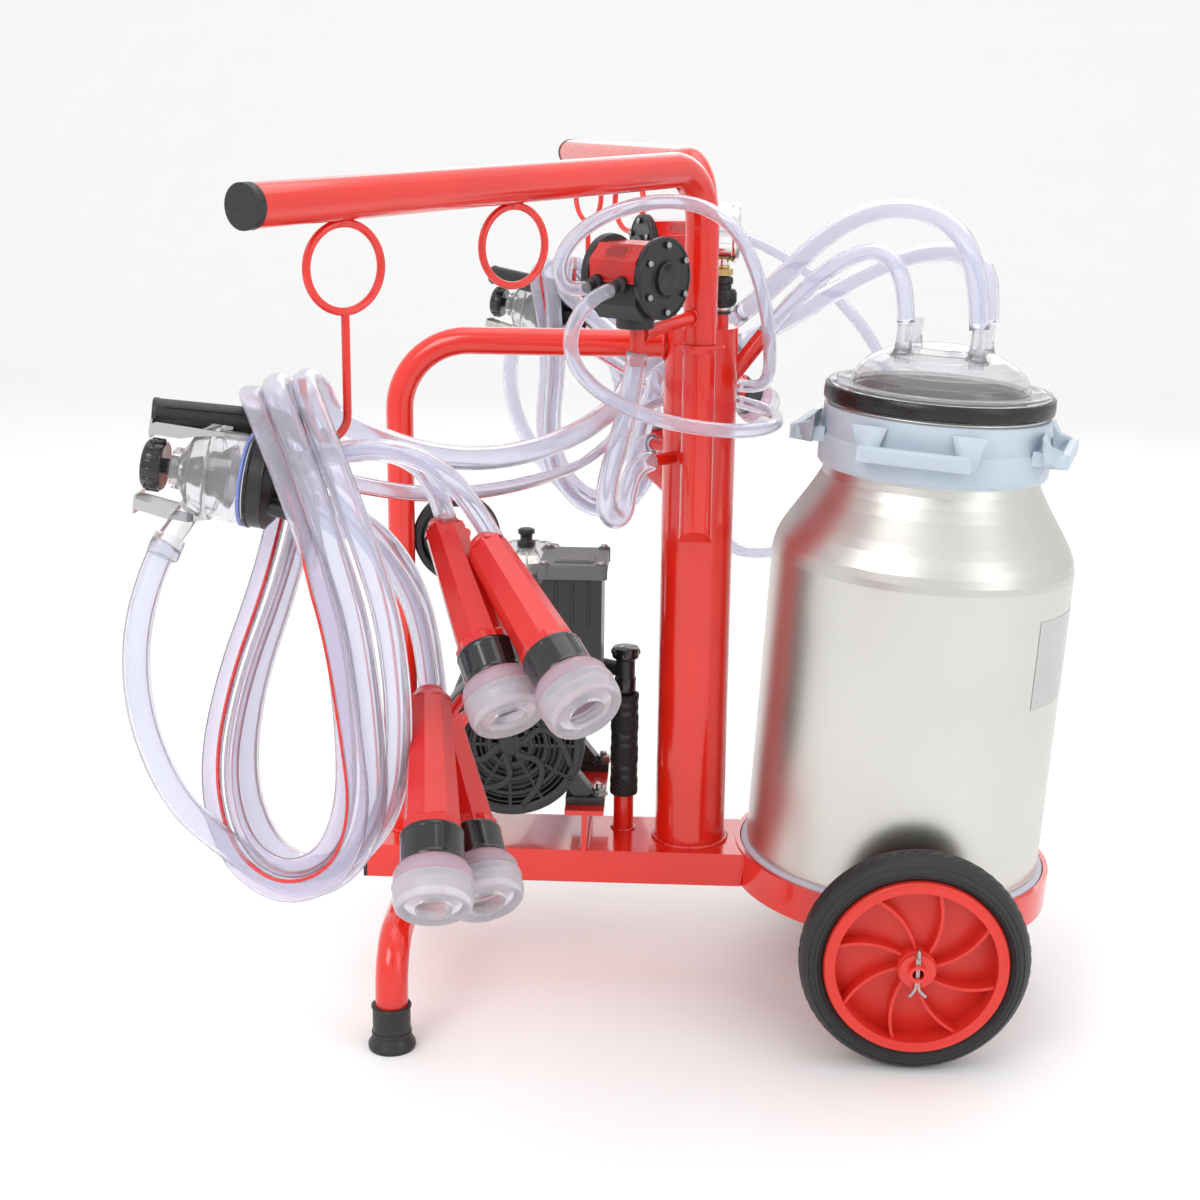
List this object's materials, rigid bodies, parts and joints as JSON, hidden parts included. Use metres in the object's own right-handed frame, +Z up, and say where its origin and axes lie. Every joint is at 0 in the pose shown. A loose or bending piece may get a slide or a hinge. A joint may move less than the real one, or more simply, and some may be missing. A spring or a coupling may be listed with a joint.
{
  "type": "portable milking machine",
  "caption": "Wheeled two-cluster milking machine: red tube trolley with vacuum pump, milk can, swivel arms, pulsators, claws and teat cups on clear hoses.",
  "frame": {"origin": "on the floor, centre of the footprint of everything but the free hoses and the mains cord", "axes": "+X towards the milk can and wheels, +Y towards the far swivel arm, +Z up"},
  "size_m": [0.7918, 1.4318, 0.8561],
  "materials": {
    "red_frame": "gloss enamel",
    "black_caps": "matte rubber",
    "zinc_steel": "zinc plated, satin",
    "motor_black": "satin paint",
    "black_plastic": "moulded, satin",
    "grey_metal": "cast, satin",
    "can_aluminium": "brushed round the can",
    "can_grey_plastic": "moulded, satin",
    "gasket_rubber": "smooth black rubber",
    "clear_plastic": "clear, glossy",
    "clear_hose": "clear PVC with a faint lilac tint",
    "tyre_rubber": "solid rubber",
    "wheel_red": "moulded, gloss",
    "red_plastic": "moulded, gloss",
    "liner_silicone": "translucent silicone",
    "needle_black": "matt paint",
    "gauge_chrome": "polished",
    "cord_black": "matte PVC"
  },
  "bodies": {
    "frame": {"base_beam": "red_frame", "front_tube": "red_frame", "leg_arch": "red_frame", "end_caps": "black_caps", "vacuum_post": "red_frame", "arm_sockets": "red_frame", "motor_brackets": "red_frame", "can_ring": "red_frame", "axle": "zinc_steel", "riser": "black_caps", "motor_body": "motor_black", "fan_cover": "black_plastic", "pump_head": "grey_metal", "junction_box": "black_plastic", "power_cord": "cord_black", "regulator": "black_plastic", "gauge_body": "gauge_chrome", "can_hose": "clear_hose", "milk_riser_near": "clear_hose", "milk_riser_far": "clear_hose"},
    "wheel_near": {"rim_near": "wheel_red", "tyre_near": "tyre_rubber"},
    "wheel_far": {"rim_far": "wheel_red", "tyre_far": "tyre_rubber"},
    "can": {"can_body": "can_aluminium", "can_plastic": "can_grey_plastic"},
    "lid": {"can_lid": "clear_plastic", "lid_gasket": "gasket_rubber"},
    "arm_near": {"arm_near": "red_frame", "arm_cap_near": "black_caps", "pulsator_upper_near": "red_plastic", "pulsator_lower_near": "black_plastic", "claw_body_near": "black_plastic", "claw_bowl_near": "clear_plastic", "teat_shells_near": "red_plastic", "teat_sleeves_near": "black_caps", "teat_liners_near": "liner_silicone", "short_tubes_near": "clear_hose", "milk_hose_near": "clear_hose", "hose_coil_near": "clear_hose", "pulse_hose_near": "clear_hose", "vacuum_hose_near": "clear_hose"},
    "arm_far": {"arm_far": "red_frame", "arm_cap_far": "black_caps", "pulsator_upper_far": "red_plastic", "pulsator_lower_far": "black_plastic", "claw_body_far": "black_plastic", "claw_bowl_far": "clear_plastic", "teat_shells_far": "red_plastic", "teat_sleeves_far": "black_caps", "teat_liners_far": "liner_silicone", "short_tubes_far": "clear_hose", "milk_hose_far": "clear_hose", "hose_coil_far": "clear_hose", "pulse_hose_far": "clear_hose", "vacuum_hose_far": "clear_hose"},
    "valve_near": {"claw_valve_near": "black_plastic"},
    "valve_far": {"claw_valve_far": "black_plastic"},
    "rotor": {"motor_rotor": "black_plastic"},
    "needle": {"gauge_needle": "needle_black"}
  },
  "joints": [
    {"name": "wheel_near_spin", "type": "hinge", "parent": "frame", "child": "wheel_near", "pos_m": [0.23185, -0.19761, 0.1099], "axis": [0, 1, 0], "continuous": true},
    {"name": "wheel_far_spin", "type": "hinge", "parent": "frame", "child": "wheel_far", "pos_m": [0.23185, 0.17239, 0.1099], "axis": [0, 1, 0], "continuous": true},
    {"name": "arm_near_swivel", "type": "hinge", "parent": "frame", "child": "arm_near", "pos_m": [0.01365, -0.06461, 0.677], "axis": [0, 0, 1], "range_deg": [-45, 75], "deforming": ["milk_hose_near", "pulse_hose_near", "vacuum_hose_near"]},
    {"name": "arm_far_swivel", "type": "hinge", "parent": "frame", "child": "arm_far", "pos_m": [0.01365, 0.03939, 0.677], "axis": [0, 0, 1], "range_deg": [-60, 60], "deforming": ["milk_hose_far", "pulse_hose_far", "vacuum_hose_far"]},
    {"name": "lid_lift", "type": "slide", "parent": "frame", "child": "lid", "axis": [0.052, 0, 0.9986], "range_m": [0, 0.25], "deforming": ["can_hose", "milk_riser_near", "milk_riser_far"]},
    {"name": "can_lift", "type": "slide", "parent": "frame", "child": "can", "axis": [0.052, 0, 0.9986], "range_m": [0, 0.1]},
    {"name": "claw_valve_near_slide", "type": "slide", "parent": "arm_near", "child": "valve_near", "axis": [-0.9901, 0, 0.14], "range_m": [-0.004, 0.008]},
    {"name": "claw_valve_far_slide", "type": "slide", "parent": "arm_far", "child": "valve_far", "axis": [-0.9518, 0.2729, 0.14], "range_m": [-0.004, 0.008]},
    {"name": "pump_spin", "type": "hinge", "parent": "frame", "child": "rotor", "pos_m": [-0.16535, -0.01261, 0.279], "axis": [0, 1, 0], "continuous": true},
    {"name": "gauge_needle_swing", "type": "hinge", "parent": "frame", "child": "needle", "pos_m": [0.04265, -0.01061, 0.778], "axis": [-1, 0, 0], "range_deg": [0, 270]}
  ],
  "couplings": [
    {"joint": "can_lift", "follows": "lid_lift", "ratio": 0.4}
  ]
}
